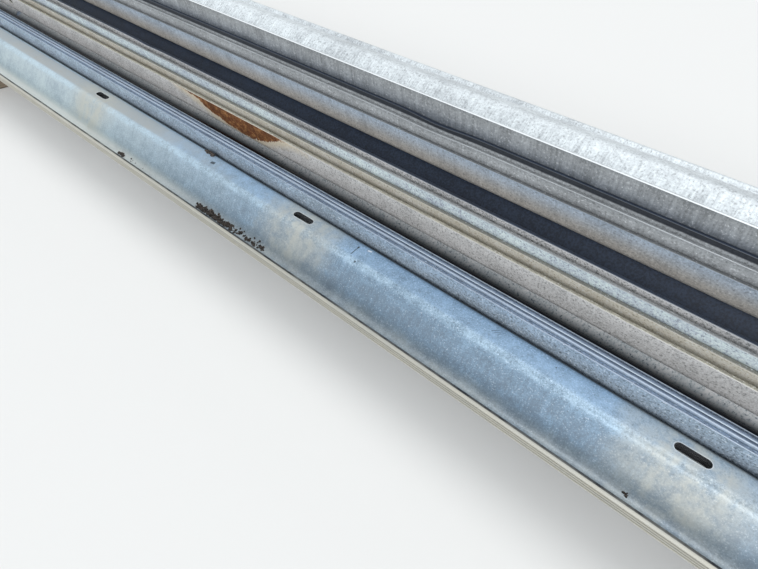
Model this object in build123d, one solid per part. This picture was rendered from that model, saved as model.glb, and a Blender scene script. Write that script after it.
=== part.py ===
from build123d import *
import math
import os
import numpy as np

os.makedirs("parts", exist_ok=True)

# Corrugated rail, sizes in millimetres. The section is two round crests with a
# slotted flat between them and a narrow lip along each edge. In the pile the
# crests point down, so the flat and the lips are uppermost.
rail_width = 312.0
rail_depth = 83.0
sheet_thickness = 2.67
crest_spacing = 194.0
crest_radius = 22.0
flat_bend_radius = 14.0
lip_bend_radius = 7.0
lip_drop = 12.0
inner_wall_angle = 55.0
outer_wall_angle = 64.0

# Slots and splice holes. The top rail is of the kind that bolts to a post only
# at its splices, so it has a slot near each end and none between. A rail is four
# slot spaces long, plus the lap over which two rails are bolted together.
slot_spacing = 952.5
splice_lap = 318.0
rail_length = 4 * slot_spacing + splice_lap
every_slot = (-2, -1, 0, 1, 2)
end_slots = (-2, 2)
slot_length = 63.5
slot_width = 19.0
splice_length = 29.0
splice_width = 23.0
splice_column_offset = 108.0

# The short flats that stand for each bend, in degrees, and for a slot's end
bend_step = 24.0
slot_end_steps = 3
cutter_height = 16.0

# Timber bearers under the pile. The left one lies a little askew.
bearer_size = 98.0
bearer_near_overhang = 24.0
bearer_far_overhang = 120.0
bearer_inset = 334.0
bearer_spacing = rail_length - 2 * bearer_inset
bearer_left_skew = -9.6
bearer_right_skew = 0.0
bearer_arris = 4.0

# How the rails lie. Each place is how far the middle of a rail's metal lies
# behind the slot line of the front nest.
flat_count = 4
low_places = (168.0, 169.0, 173.4, 180.4)
middle_places = (231.3, 249.7, 244.4, 257.0)
high_places = (313.8, 308.8, 307.1)
top_places = (300.8,)
contact_gap = 0.08

# Small lengthwise slips, so the rail ends are not all in one plane
end_slip = 26.0

half_thickness = sheet_thickness / 2


def wall_crossings():
    """Corner points of half the section's middle line, from the flat outwards."""
    a = math.radians(inner_wall_angle)
    b = math.radians(outer_wall_angle)
    crest_y = crest_spacing / 2
    round_z = -(rail_depth - sheet_thickness) + crest_radius
    flat_y = crest_y - (crest_radius - round_z * math.cos(a)) / math.sin(a)
    lip_y = crest_y + (crest_radius - (round_z + lip_drop) * math.cos(b)) / math.sin(b)
    apex_y = (flat_y * math.tan(a) + lip_drop + lip_y * math.tan(b)) / (math.tan(a) + math.tan(b))
    apex_z = -(apex_y - flat_y) * math.tan(a)
    return [(flat_y, 0.0), (apex_y, apex_z), (lip_y, -lip_drop), (rail_width / 2, -lip_drop)]


def section_corners():
    """Corners and bend radii of the whole middle line, near lip to far lip."""
    half = wall_crossings()
    radii = [flat_bend_radius, crest_radius, lip_bend_radius, 0.0]
    points = [(-y, z) for y, z in reversed(half)] + half
    return points, list(reversed(radii)) + radii


def offset_corners(points, shift):
    """The corner points moved sideways by shift, mitred at each corner."""
    pts = np.array(points)
    dirs = np.diff(pts, axis=0)
    dirs /= np.linalg.norm(dirs, axis=1)[:, None]
    normals = np.stack([-dirs[:, 1], dirs[:, 0]], axis=1)
    moved = [pts[0] + normals[0] * shift]
    for i in range(1, len(pts) - 1):
        bisector = normals[i - 1] + normals[i]
        bisector /= np.linalg.norm(bisector)
        moved.append(pts[i] + bisector * shift / (bisector @ normals[i]))
    moved.append(pts[-1] + normals[-1] * shift)
    return moved


def bend_run(before, corner, after, radius, steps):
    """The points of the round that replaces one corner, in short flats."""
    a = (before - corner) / np.linalg.norm(before - corner)
    b = (after - corner) / np.linalg.norm(after - corner)
    half = math.acos(float(np.clip(a @ b, -1, 1))) / 2
    centre = corner + (a + b) / np.linalg.norm(a + b) * radius / math.sin(half)
    start = corner + a * radius / math.tan(half) - centre
    end = corner + b * radius / math.tan(half) - centre
    first = math.atan2(start[1], start[0])
    sweep = math.atan2(end[1], end[0]) - first
    sweep = (sweep + math.pi) % (2 * math.pi) - math.pi
    angles = [first + sweep * k / steps for k in range(steps + 1)]
    return [centre + radius * np.array([math.cos(t), math.sin(t)]) for t in angles]


def side_path(shift):
    """The points of one side of the sheet, from the near lip to the far lip."""
    points, radii = section_corners()
    moved = offset_corners(points, shift)
    pts = np.array(points)
    out = [moved[0]]
    for i in range(1, len(moved) - 1):
        before = pts[i] - pts[i - 1]
        after = pts[i + 1] - pts[i]
        cross = before[0] * after[1] - before[1] * after[0]
        turn = math.atan2(abs(cross), float(before @ after))
        steps = max(2, round(math.degrees(turn) / bend_step))
        radius = radii[i] - shift * math.copysign(1, cross)
        out += bend_run(moved[i - 1], moved[i], moved[i + 1], radius, steps)
    return out + [moved[-1]]


def section_face():
    """The closed face of the rail's cross-section."""
    outline = side_path(half_thickness) + side_path(-half_thickness)[::-1]
    return make_face(Polyline(*[(0.0, float(p[0]), float(p[1])) for p in outline], close=True).edges())


def wall_middle(corners, radii, i):
    """The middle of the flat stretch of the wall from corner i to corner i + 1."""
    before, a, b, after = [np.array(c) for c in corners[i - 1:i + 3]]
    along = (b - a) / np.linalg.norm(b - a)
    first = (before - a) / np.linalg.norm(before - a)
    last = (after - b) / np.linalg.norm(after - b)
    start = radii[i] / math.tan(math.acos(float(first @ along)) / 2)
    end = radii[i + 1] / math.tan(math.acos(float(-along @ last)) / 2)
    return (a + along * start + b - along * end) / 2


def slot_cutter(length, width, height):
    """A slot cutter, long along X, with each round end in short flats."""
    radius = width / 2
    reach = length / 2 - radius
    points = []
    for side in (1, -1):
        for k in range(slot_end_steps + 1):
            angle = math.pi * k / slot_end_steps - math.pi / 2
            points.append((side * (reach + radius * math.cos(angle)), side * radius * math.sin(angle)))
    return Pos(0, 0, -height / 2) * extrude(make_face(Polyline(*points, close=True).edges()), amount=height)


def splice_cutters(end):
    """The eight splice hole cutters around one end's post slot."""
    corners, radii = section_corners()
    outer = wall_middle(corners, radii, 1)
    inner = wall_middle(corners, radii, 2)
    cutter = slot_cutter(splice_length, splice_width, cutter_height)
    cutters = []
    for side in (-1, 1):
        for spot, angle in ((inner, -inner_wall_angle), (outer, outer_wall_angle)):
            for column in (-1, 1):
                x = end * slot_spacing + column * splice_column_offset
                turned = Rot(side * angle, 0, 0) * cutter
                cutters.append(Pos(x, -side * float(spot[0]), float(spot[1])) * turned)
    return cutters


def make_rail(slots):
    """One rail, crests down, with the middle of its flat on the XY plane."""
    rail = Pos(-rail_length / 2, 0, 0) * extrude(section_face(), amount=rail_length, dir=(1, 0, 0))
    post_slot = slot_cutter(slot_length, slot_width, cutter_height)
    cutters = [Pos(i * slot_spacing, 0, 0) * post_slot for i in slots]
    for end in end_slots:
        cutters += splice_cutters(end)
    return rail - cutters


# Resting the rails. The middle line of each section is lowered on those below
# it and turned until its weight is as low as it can be at that place.
grid_step = 0.1
grid_start = -400.0
grid_count = 15000
grid = grid_start + grid_step * np.arange(grid_count)
spacing = sheet_thickness + contact_gap


def centroid(line):
    """The centre of a thin line's weight."""
    steps = np.linalg.norm(np.diff(line, axis=0), axis=1)
    middles = (line[:-1] + line[1:]) / 2
    return (middles * steps[:, None]).sum(axis=0) / steps.sum()


def placed(line, y, z, tilt):
    """The line turned by tilt degrees and moved to y, z."""
    c = math.cos(math.radians(tilt))
    s = math.sin(math.radians(tilt))
    return np.stack([y + line[:, 0] * c - line[:, 1] * s, z + line[:, 0] * s + line[:, 1] * c], axis=1)


def envelope(line, upper):
    """The highest or lowest height of the line over each grid spot."""
    pick = np.maximum if upper else np.minimum
    out = np.full(grid_count, -1e9 if upper else 1e9)
    for a, b in zip(line[:-1], line[1:]):
        if a[0] > b[0]:
            a, b = b, a
        lo = math.ceil((a[0] - grid_start) / grid_step)
        hi = math.floor((b[0] - grid_start) / grid_step)
        if b[0] - a[0] > 1e-9 and hi >= lo:
            heights = a[1] + (b[1] - a[1]) * (grid[lo:hi + 1] - a[0]) / (b[0] - a[0])
            out[lo:hi + 1] = pick(out[lo:hi + 1], heights)
        for p in (a, b):
            i = round((p[0] - grid_start) / grid_step)
            out[i] = pick(out[i], p[1])
    return out


def raised(top, line):
    """The pile's top after a rail is added, kept one sheet clear all round."""
    crown = envelope(line, True)
    reach = int(spacing / grid_step)
    for k in range(-reach, reach + 1):
        lift = math.sqrt(spacing * spacing - (k * grid_step) ** 2)
        top = np.maximum(top, np.roll(crown, k) + lift)
    return top


def resting(top, line, place, low_tilt, high_tilt):
    """The height and tilt at which a rail settles with its weight over place."""
    weight = centroid(line)

    def settled(tilt):
        c = math.cos(math.radians(tilt))
        s = math.sin(math.radians(tilt))
        y = place - (weight[0] * c - weight[1] * s)
        under = envelope(placed(line, y, 0.0, tilt), False)
        used = under < 1e8
        z = float((top[used] - under[used]).max())
        return z + weight[0] * s + weight[1] * c, y, z

    tilts = np.linspace(low_tilt, high_tilt, 25)
    levels = [settled(t)[0] for t in tilts]
    i = int(np.argmin(levels))
    a = tilts[max(0, i - 1)]
    b = tilts[min(24, i + 1)]
    for _ in range(24):
        m1 = a + (b - a) / 3
        m2 = b - (b - a) / 3
        if settled(m1)[0] < settled(m2)[0]:
            b = m2
        else:
            a = m1
    tilt = (a + b) / 2
    level, y, z = settled(tilt)
    return y, z, tilt


rail_line = np.array(side_path(0.0))
nest_step = spacing / math.cos(math.radians(max(inner_wall_angle, outer_wall_angle)))

# The front nest lies level on the bearers, one rail inside the next.
base_z = -(rail_depth - half_thickness) - (flat_count - 1) * nest_step - half_thickness
pile_top = np.full(grid_count, base_z + half_thickness)
placings = []
for k in range(flat_count):
    z = -(flat_count - 1 - k) * nest_step
    placings.append(("rail_flat_%d" % (k + 1), 0.0, z, 0.0))
    pile_top = raised(pile_top, placed(rail_line, 0.0, z, 0.0))

# The other nests lap over it like tiles, each leaning on the one in front.
groups = (
    ("rail_low", low_places),
    ("rail_middle", middle_places),
    ("rail_high", high_places),
    ("rail_top", top_places),
)
for name, places in groups:
    for k, place in enumerate(places):
        y, z, tilt = resting(pile_top, rail_line, place, -45.0, 0.0)
        placings.append(("%s_%d" % (name, k + 1), y, z, tilt))
        pile_top = raised(pile_top, placed(rail_line, y, z, tilt))
        print(name, k + 1, round(y, 1), round(z, 1), round(tilt, 1))

# Extent of the pile across the rails, which sets the bearers' length
lines = [placed(rail_line, y, z, tilt) for name, y, z, tilt in placings]
near_y = min(float(line[:, 0].min()) for line in lines) - bearer_near_overhang
far_y = max(float(line[:, 0].max()) for line in lines) + bearer_far_overhang
middle_y = (near_y + far_y) / 2
ground_z = base_z - bearer_size

rail = make_rail(every_slot)
top_rail = make_rail(end_slots)
for k, (name, y, z, tilt) in enumerate(placings):
    slip = 0.0
    if k >= flat_count:
        slip = end_slip * math.sin(2.4 * k)
    kind = top_rail if name.startswith("rail_top") else rail
    solid = Pos(slip, y - middle_y, z - ground_z) * Rot(tilt, 0, 0) * kind
    export_step(solid, "parts/%s.step" % name)

for name, side, skew in (("bearer_left", -1, bearer_left_skew), ("bearer_right", 1, bearer_right_skew)):
    timber = Box(bearer_size, far_y - near_y, bearer_size)
    timber = chamfer(timber.edges().filter_by(Axis.Y), bearer_arris)
    laid = Pos(side * bearer_spacing / 2, 0, bearer_size / 2) * Rot(0, 0, skew) * timber
    export_step(laid, "parts/%s.step" % name)

print("near", round(near_y, 1), "far", round(far_y, 1), "slot plane", round(-ground_z, 1))
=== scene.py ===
import math
from types import SimpleNamespace

import bmesh
import bpy
import numpy as np
from bpy.props import FloatProperty, FloatVectorProperty, IntProperty, PointerProperty
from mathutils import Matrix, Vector, noise


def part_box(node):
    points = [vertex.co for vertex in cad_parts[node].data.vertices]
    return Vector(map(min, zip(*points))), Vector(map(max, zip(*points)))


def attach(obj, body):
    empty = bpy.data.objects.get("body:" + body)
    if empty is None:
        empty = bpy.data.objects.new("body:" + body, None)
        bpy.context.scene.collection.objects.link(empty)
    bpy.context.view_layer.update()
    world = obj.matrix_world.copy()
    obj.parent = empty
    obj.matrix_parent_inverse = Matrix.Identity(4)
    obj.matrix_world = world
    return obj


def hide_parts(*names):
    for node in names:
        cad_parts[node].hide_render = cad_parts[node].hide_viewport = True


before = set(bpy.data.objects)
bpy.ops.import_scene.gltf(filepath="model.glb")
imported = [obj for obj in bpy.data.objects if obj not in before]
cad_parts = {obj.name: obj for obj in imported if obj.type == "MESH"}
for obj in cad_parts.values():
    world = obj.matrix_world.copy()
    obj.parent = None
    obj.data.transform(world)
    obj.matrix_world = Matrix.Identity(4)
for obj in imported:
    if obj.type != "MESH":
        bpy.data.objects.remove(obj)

bl_info = {
    "name": "Guardrail pile",
    "version": (1, 0, 0),
    "blender": (4, 5, 0),
    "location": "View3D > Sidebar > Guardrail pile",
    "description": "Galvanised guardrail rails lying nested on timber bearers",
    "category": "Object",
}

MM = 0.001
SLOT_PITCH = 0.9525
SLOT_STRAIGHT = 0.022
EVERY_SLOT = (-2, -1, 0, 1, 2)
END_SLOTS = (-2, 2)


# Properties

def colour(name, value, description):
    """A colour property with its usual range."""
    return FloatVectorProperty(name=name, description=description, subtype="COLOR", size=3,
                               min=0.0, max=1.0, default=value)


def length(name, value, description):
    """A length property, in metres."""
    return FloatProperty(name=name, description=description, default=value, unit="LENGTH")


class RailSizes(bpy.types.PropertyGroup):
    """The rail's section and its slots"""
    width: length("Width", 0.312, "Rail width over both lips")
    depth: length("Depth", 0.083, "Section depth")
    thickness: length("Thickness", 0.00267, "Sheet thickness")
    crest_spacing: length("Crest spacing", 0.194, "Distance between the two crests")
    crest_radius: length("Crest radius", 0.022, "Middle-line radius of a crest")
    flat_bend_radius: length("Flat bend radius", 0.021, "Middle-line radius beside the flat")
    lip_bend_radius: length("Lip bend radius", 0.007, "Middle-line radius at a lip")
    lip_drop: length("Lip drop", 0.012, "How far the lips lie below the flat")
    inner_wall: FloatProperty(name="Inner wall", description="Slope of the inner walls",
                              default=math.radians(55), subtype="ANGLE")
    outer_wall: FloatProperty(name="Outer wall", description="Slope of the outer walls",
                              default=math.radians(64), subtype="ANGLE")
    slot_length: length("Slot length", 0.0635, "Post slot length")
    slot_width: length("Slot width", 0.019, "Post slot width")
    splice_length: length("Splice hole length", 0.029, "Splice hole length")
    splice_width: length("Splice hole width", 0.023, "Splice hole width")
    splice_offset: length("Splice column offset", 0.108, "Splice holes from the post slot")
    stations: IntProperty(name="Stations", description="Cross-sections along a rail",
                          default=130, min=12, max=400)


class PileFinish(bpy.types.PropertyGroup):
    """Colours of the rails and of the timber"""
    zinc_blue: colour("Blue zinc", (0.236, 0.344, 0.460), "Upper sides in the front nest")
    lap_upper: colour("Low nest, upper", (0.32, 0.39, 0.49), "Its upper sides")
    lap_under: colour("Low nest, first", (0.415, 0.515, 0.62), "Under side of its first rail")
    # Painted light: a lighter copy of the first rail's under side, for the shaded strips under the
    # other lips
    lap_lips_lit: colour("Low nest, lips", (0.60, 0.70, 0.84), "Under sides of its other rails")
    # Painted light: the last low rail's upper side lightened where its trough lies in shade
    lap_last_lit: colour("Low nest, last", (0.82, 0.91, 0.96), "Upper side of its last rail")
    zinc_pale: colour("Pale zinc", (0.90, 0.94, 0.96), "Bright sides in the middle nest")
    zinc_cream: colour("Cream zinc", (0.70, 0.67, 0.57), "Stained sides in the middle nest")
    band_white: colour("White band", (0.98, 0.99, 1.0), "Under side of its first rail")
    band_crest: colour("White crest", (1.0, 1.0, 0.99), "The same at the crest")
    band_cream: colour("Cream band", (0.96, 0.90, 0.75), "Under side of its second rail")
    band_blue: colour("Blue band", (0.68, 0.78, 0.96), "Under side of its third rail")
    # Painted shade: near-black blue for the troughs of the last middle and high rails
    zinc_in_shade: colour("Shaded zinc", (0.022, 0.034, 0.060), "Painted shade in the troughs behind the nests")
    zinc_grey: colour("Grey zinc", (0.45, 0.475, 0.495), "Weathered rails at the back")
    high_under: colour("High nest, first", (0.52, 0.61, 0.72), "Under side of its first rail")
    # Painted light: the first high rail's crest lightened where it turns down into shade
    high_crest_lit: colour("High nest, crest", (0.61, 0.58, 0.53), "The same at the crest")
    # Painted light: the top rail's upper side whiter than its under side, as if sunlit
    zinc_sunlit: colour("Sunlit zinc", (0.70, 0.75, 0.79), "Upper side of the top rail")
    # Painted shade: the top rail's crests darkened where they turn under
    top_crest_shade: colour("Top rail, crest", (0.20, 0.23, 0.27), "Under side of its crests")
    fleck: colour("Fleck", (0.86, 0.89, 0.92), "Bright flecks in the zinc")
    # Painted highlight: a pale line along the lips' edges
    edge_highlight: colour("Edge highlight", (0.90, 0.94, 0.97), "Edges of the lips")
    timber: colour("Timber", (0.215, 0.160, 0.105), "Sawn timber")
    timber_grey: colour("Grey timber", (0.25, 0.23, 0.20), "Weather stains on the timber")


class WearFinish(bpy.types.PropertyGroup):
    """Colours of the front rail's wear, of the dirt and of the rust, and of painted highlights,
    light and shade
    """
    # Painted highlight: the front rail turns paler towards its far end
    far: colour("Far highlight", (0.54, 0.63, 0.66), "Front rail towards its far end")
    # Painted highlight along the front rail's bend
    bend: colour("Bend", (0.58, 0.76, 0.90), "Along the bend beside its flat")
    # Painted light: the front rail's flat lighter and bluer, as lit by the sky
    level: colour("Flat", (0.40, 0.58, 0.80), "Its slotted flat")
    dull: colour("Dull flat", (0.47, 0.47, 0.44), "Its flat towards its far end")
    # Painted shade: the front rail's near wall darker than its flat
    wall: colour("Wall", (0.20, 0.255, 0.315), "Its near wall")
    # Painted highlight in the front rail's near trough, strongest towards the far end
    trough_highlight: colour("Trough", (0.80, 0.84, 0.82), "Its near trough")
    silt: colour("Silt", (0.50, 0.50, 0.44), "Dried silt in the trough")
    lip_silt: colour("Lip silt", (0.50, 0.48, 0.41), "Dried silt on the near lip")
    slot_stain: colour("Slot stain", (0.53, 0.53, 0.475), "Stains round the slots")
    # Painted highlight on the slots' rims
    slot_rim_highlight: colour("Slot rim", (0.80, 0.84, 0.86), "Bright rims of the slots")
    # Painted shade: the slots' walls near-black
    slot_wall_shade: colour("Slot wall", (0.006, 0.006, 0.007), "Insides of the slots")
    scratch: colour("Scratch", (0.9, 0.92, 0.94), "Light scratches")
    # Near-black for the dark strokes on the front rail, and for painted shade in its crevices, at
    # its near lip and on rails lying under another
    grime_and_shade: colour("Grime", (0.020, 0.022, 0.026), "Dark marks, and painted shade in the crevices")
    # Painted shade: near-black in the trough of the low nest's last rail
    trough_shadow: colour("Trough shade", (0.004, 0.006, 0.010), "Painted shade deep in the low nest")
    # Painted shadow under the near lip of the last high rail
    lip_shadow: colour("Lip shadow", (0.012, 0.016, 0.026), "Painted shadow under a near lip")
    grit: colour("Grit", (0.075, 0.060, 0.050), "Crumbs of soil")
    rust: colour("Rust", (0.155, 0.050, 0.017), "Middle of the rust patch")
    rust_rim: colour("Rust rim", (0.40, 0.20, 0.075), "Thin rust round the patch")
    rust_halo: colour("Rust halo", (0.93, 0.82, 0.62), "Stain round the rust")


class StageLooks(bpy.types.PropertyGroup):
    """Floor and lights"""
    floor: colour("Floor", (0.78, 0.78, 0.77), "Floor as the camera sees it")
    bounce: colour("Floor bounce", (0.68, 0.68, 0.67), "Floor as it lights the pile")
    backdrop: colour("Backdrop", (0.9, 0.9, 0.9), "Backdrop as the camera sees it")
    sky: colour("Sky", (0.93, 0.97, 1.0), "Tint of the even light")
    ambient: FloatProperty(name="Ambient", description="Strength of the even light", default=0.60)
    key: FloatProperty(name="Key", description="Strength of the soft lamp overhead", default=0.90)
    fill: FloatProperty(name="Fill", description="Strength of the soft lamp in front", default=1.95)


# Shaders

LIGHTEST = 0.96


def plug(socket, value):
    """Links a wire to a socket, or sets the socket to a plain value."""
    if isinstance(value, Wire):
        value.tree.links.new(value.socket, socket)
    else:
        socket.default_value = value


class Wire:
    """One node socket; arithmetic on it adds Math nodes to its material."""

    def __init__(self, tree, socket):
        self.tree = tree
        self.socket = socket

    @staticmethod
    def add(tree, kind, settings=None, inputs=None, output=0):
        """Adds a node: its settings first, then the values or links of its sockets."""
        node = tree.nodes.new(kind)
        for key, value in (settings or {}).items():
            setattr(node, key, value)
        for key, value in (inputs or {}).items():
            plug(node.inputs[key], value)
        return Wire(tree, node.outputs[output])

    def maths(self, operation, *values):
        """A Math node on the given values."""
        return Wire.add(self.tree, "ShaderNodeMath", {"operation": operation},
                        dict(enumerate(values)))

    def __add__(self, other):
        return self.maths("ADD", self, other)

    def __sub__(self, other):
        return self.maths("SUBTRACT", self, other)

    def __rsub__(self, other):
        return self.maths("SUBTRACT", other, self)

    def __mul__(self, other):
        return self.maths("MULTIPLY", self, other)

    def __truediv__(self, other):
        return self.maths("DIVIDE", self, other)

    def __pow__(self, other):
        return self.maths("POWER", self, other)

    def __abs__(self):
        return self.maths("ABSOLUTE", self)

    __radd__ = __add__
    __rmul__ = __mul__

    def clamped(self):
        """The value held between 0 and 1."""
        return self.maths("MINIMUM", self.maths("MAXIMUM", self, 0.0), 1.0)

    def rise(self, low, high):
        """A smooth step from 0 at low to 1 at high, or a fall where low is the larger."""
        start, end, first, last = (low, high, 0.0, 1.0) if low < high else (high, low, 1.0, 0.0)
        return Wire.add(self.tree, "ShaderNodeMapRange", {"interpolation_type": "SMOOTHSTEP"},
                        {0: self, 1: start, 2: end, 3: first, 4: last})

    def band(self, start, full, fading, end):
        """1 between full and fading, and 0 up to start and from end on."""
        return self.rise(start, full) * self.rise(end, fading)

    def parts(self):
        """The three parts of a vector."""
        split = Wire.add(self.tree, "ShaderNodeSeparateXYZ", inputs={0: self})
        return [Wire(self.tree, out) for out in split.socket.node.outputs]


def stored(tree, name, output="Vector"):
    """A value stored on the mesh's points."""
    return Wire.add(tree, "ShaderNodeAttribute", {"attribute_name": name}, output=output)


def stretched(place, scale, shift=(0.0, 0.0, 0.0)):
    """A vector scaled along each axis and moved."""
    return Wire.add(place.tree, "ShaderNodeVectorMath", {"operation": "MULTIPLY_ADD"},
                    {0: place, 1: scale, 2: shift})


def cloud(place, scale, detail=3.0, rough=0.55):
    """Soft noise around 0.5."""
    return Wire.add(place.tree, "ShaderNodeTexNoise", {"noise_dimensions": "3D"},
                    {"Vector": place, "Scale": scale, "Detail": detail, "Roughness": rough})


def sway(noises, reach):
    """A noise as a swing around 0."""
    return (noises - 0.5) * reach


def swayed(amount, noises, reach):
    """An amount that a noise moves up and down, between 0 and 1."""
    return (amount + sway(noises, reach)).clamped()


def cells(place, scale):
    """A random value for each cell of a broken-up pattern."""
    pattern = Wire.add(place.tree, "ShaderNodeTexVoronoi", {"feature": "F1"},
                       {"Vector": place, "Scale": scale}, output="Color")
    return pattern.parts()[0]


def mixed(first, second, factor):
    """A colour between two colours, each of them a link or plain."""
    first, second = (c if isinstance(c, Wire) else (*c, 1.0) for c in (first, second))
    return Wire.add(factor.tree, "ShaderNodeMix", {"data_type": "RGBA"},
                    {0: factor, 6: first, 7: second}, output=2)


def shaded(tint, level):
    """A plain colour made lighter or darker."""
    return [min(LIGHTEST, c * level) for c in tint]


def bare_material(name):
    """A new material, its node tree and its shader node."""
    made = bpy.data.materials.new(name)
    made.use_nodes = True
    tree = made.node_tree
    tree.nodes.clear()
    shader = tree.nodes.new("ShaderNodeBsdfPrincipled")
    output = tree.nodes.new("ShaderNodeOutputMaterial")
    tree.links.new(shader.outputs[0], output.inputs[0])
    return made, tree, shader


def feed(shader, **sockets):
    """Links or sets the shader's sockets."""
    for name, value in sockets.items():
        plug(shader.inputs[name.replace("_", " ")], value)


def bumped(height, distance, strength=1.0):
    """A normal from a height."""
    return Wire.add(height.tree, "ShaderNodeBump", None,
                    {"Height": height, "Distance": distance, "Strength": strength}, output="Normal")


# The zinc's noises: how they stretch over the sheet, their scale, detail and roughness
NOISES = {
    "wide": ((1.0, 1.0, 1.0), 4.5, 2.0, 0.55),
    "blotch": ((1.0, 1.0, 1.0), 26.0, 5.0, 0.62),
    "smear": ((0.8, 1.0, 1.0), 75.0, 3.0, 0.6),
    "run": ((1.0, 0.05, 1.0), 210.0, 3.0, 0.6),
    "wash": ((1.0, 0.16, 1.0), 34.0, 3.0, 0.55),
}

# Where a look starts and is full, in metres over the sheet from the slot line, with the near
# lip's edge at -0.2337. Those with four values also fade and end.
FLAT = (0.026, 0.016)
NEAR_BEND_HIGHLIGHT = (-0.046, -0.033, -0.026, -0.012)
NEAR_WALL_SHADE = (-0.032, -0.080)
NEAR_TROUGH = (-0.100, -0.128)
SILTED = (-0.092, -0.135)
NEAR_LIP = (-0.200, -0.214)
LIP_SHADOW_LINE = (-0.2268, -0.2252, -0.2185, -0.2150)
CREVICE_SHADE = (0.0235, 0.0290, 0.045, 0.075)
STAINED = (-0.150, -0.090)
STAIN_END = (0.034, 0.024)
OPEN_LIP = (0.222, 0.200)
CUT_EDGE = (0.2318, 0.2334)
UNDER_LIP = (-0.2035, -0.2080)
TROUGH_SHADE_WIDTH = 0.037

# The same over the rail's depth, from the slot plane, and along X
WALL_MIDDLE, WALL_SPREAD = 0.040, (0.036, 0.018)
CREST = (-0.020, -0.068)
FAR_HIGHLIGHT = (0.20, -1.15)

# The same as distances from a slot's middle line
SLOT_STAIN = (0.170, 0.020)
SLOT_RIM_HIGHLIGHT = (0.0116, 0.0106)
SLOT_WALL_SHADE = (0.0115, 0.0104)
SLOT_SHADE = (0.024, 0.014)


def sheet_surface(tree, seed, fine):
    """The places on a rail's sheet, and the noises that its zinc is made from."""
    place = stored(tree, "sheet_place")
    on = SimpleNamespace()
    on.x, on.across, on.side = place.parts()
    on.rail_y, on.rail_z = stored(tree, "rail_place").parts()[1:]
    on.upside = on.side.rise(-0.4, 0.4)
    spot = stretched(place, (1.0, 1.0, 0.02), (seed * 3.7, seed * 1.3, seed * 0.9))
    for name, (stretch, scale, detail, rough) in NOISES.items():
        setattr(on, name, cloud(stretched(spot, stretch), scale, detail, rough))
    on.flake = cells(stretched(spot, (1.0, 0.8, 1.0)), 95.0)
    on.grain = cloud(spot, fine, 2.0, 0.8)
    return on


def plain_zinc(on, upper, under, crest, mottle, streaks, speckle, depth, still):
    """The zinc's tone, and its colour before any wear."""
    lean = abs(on.rail_z + WALL_MIDDLE).rise(*WALL_SPREAD)
    tone = (0.5 + sway(on.blotch, 2.0 * mottle) + sway(on.smear, 1.3 * mottle)
            + sway(on.wide, 0.9) + sway(on.flake, 0.22 * mottle)
            + sway(on.run, 1.6 * streaks) * (lean * 0.8 + 0.2)
            + sway(on.wash, 1.1 * streaks) * lean + sway(on.grain, 4.2 * speckle + 0.3)).clamped()

    def tones(tint, light=1.22):
        return mixed(shaded(tint, 1.0 - depth), shaded(tint, light), tone)

    below = tones(under)
    if crest:
        below = mixed(below, tones(crest), on.rail_z.rise(*CREST))
    zinc = mixed(below, tones(upper, 1.24), on.upside)
    loud = 1.0 - on.upside * still
    flecks = on.grain.rise(0.61, 0.70) * (speckle * 1.6) * loud
    pits = on.grain.rise(0.43, 0.30) * (speckle * 1.4) * loud
    zinc = mixed(zinc, bpy.context.scene.pile_finish.fleck, flecks.clamped())
    return tone, mixed(zinc, shaded(under, 0.30), pits.clamped())


def front_wear(on, tone, zinc):
    """The front nest's zinc: paler to its far end and lit at its bend as painted highlights, with
    painted light on its flat, painted shade on its near wall, a painted highlight and silt in its
    trough, and painted shadow in its crevice and at its near lip.
    """
    wear = bpy.context.scene.wear_finish
    # Painted highlight: the upper side turns paler towards the far end; the flat's dull tint, the
    # trough's highlight and the fading of the wall and silt follow it
    far = (on.x + sway(on.wide, 0.7) + sway(on.blotch, 0.3)).rise(*FAR_HIGHLIGHT) * on.upside
    zinc = mixed(zinc, wear.far, far * swayed(0.80, tone, 0.6))
    # Painted highlight along the bend beside the flat
    bend = on.across.band(*NEAR_BEND_HIGHLIGHT) * on.upside
    zinc = mixed(zinc, wear.bend, bend * swayed(0.27, tone, 0.6))
    # Painted light: the flat lighter and bluer than the walls
    level = abs(on.across).rise(*FLAT) * on.upside
    zinc = mixed(zinc, wear.level, level * swayed(0.36, tone, 0.5))
    zinc = mixed(zinc, wear.dull, level * far.rise(0.25, 0.75) * swayed(0.75, tone, 0.4))
    # Painted shade: the near wall darkened, less towards the far end
    wall = on.across.rise(*NEAR_WALL_SHADE) * on.upside * (1.0 - far * 0.6)
    zinc = mixed(zinc, wear.wall, wall * swayed(0.45, tone, -0.7))
    # Painted highlight in the near trough, strongest towards the far end
    trough_highlight = on.across.rise(*NEAR_TROUGH) * on.upside
    zinc = mixed(zinc, wear.trough_highlight, trough_highlight * swayed(far * 0.95 + 0.10, tone, 0.3))
    beach = (on.across + sway(on.wide, 0.05) + sway(on.wash, 0.02)).rise(*SILTED) * on.upside
    drifted = (0.30 + sway(on.wide, 3.2) + sway(on.blotch, 1.2)).clamped()
    zinc = mixed(zinc, wear.silt, beach * (0.10 + drifted * 0.55) * (1.0 - far * 0.7))
    zinc = mixed(zinc, wear.lip_silt, on.across.rise(*NEAR_LIP) * swayed(0.82, on.blotch, 0.5))
    # Painted shade: a dark band in the crevice behind the flat, where the next rail lies
    zinc = mixed(zinc, wear.grime_and_shade, on.across.band(*CREVICE_SHADE) * on.upside * 0.96)
    # Painted shadow: a thin dark line where the near lip bends down
    lip_shadow_line = on.across.band(*LIP_SHADOW_LINE) * on.upside
    return mixed(zinc, wear.grime_and_shade, lip_shadow_line * swayed(0.85, on.blotch, 1.2))


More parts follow.
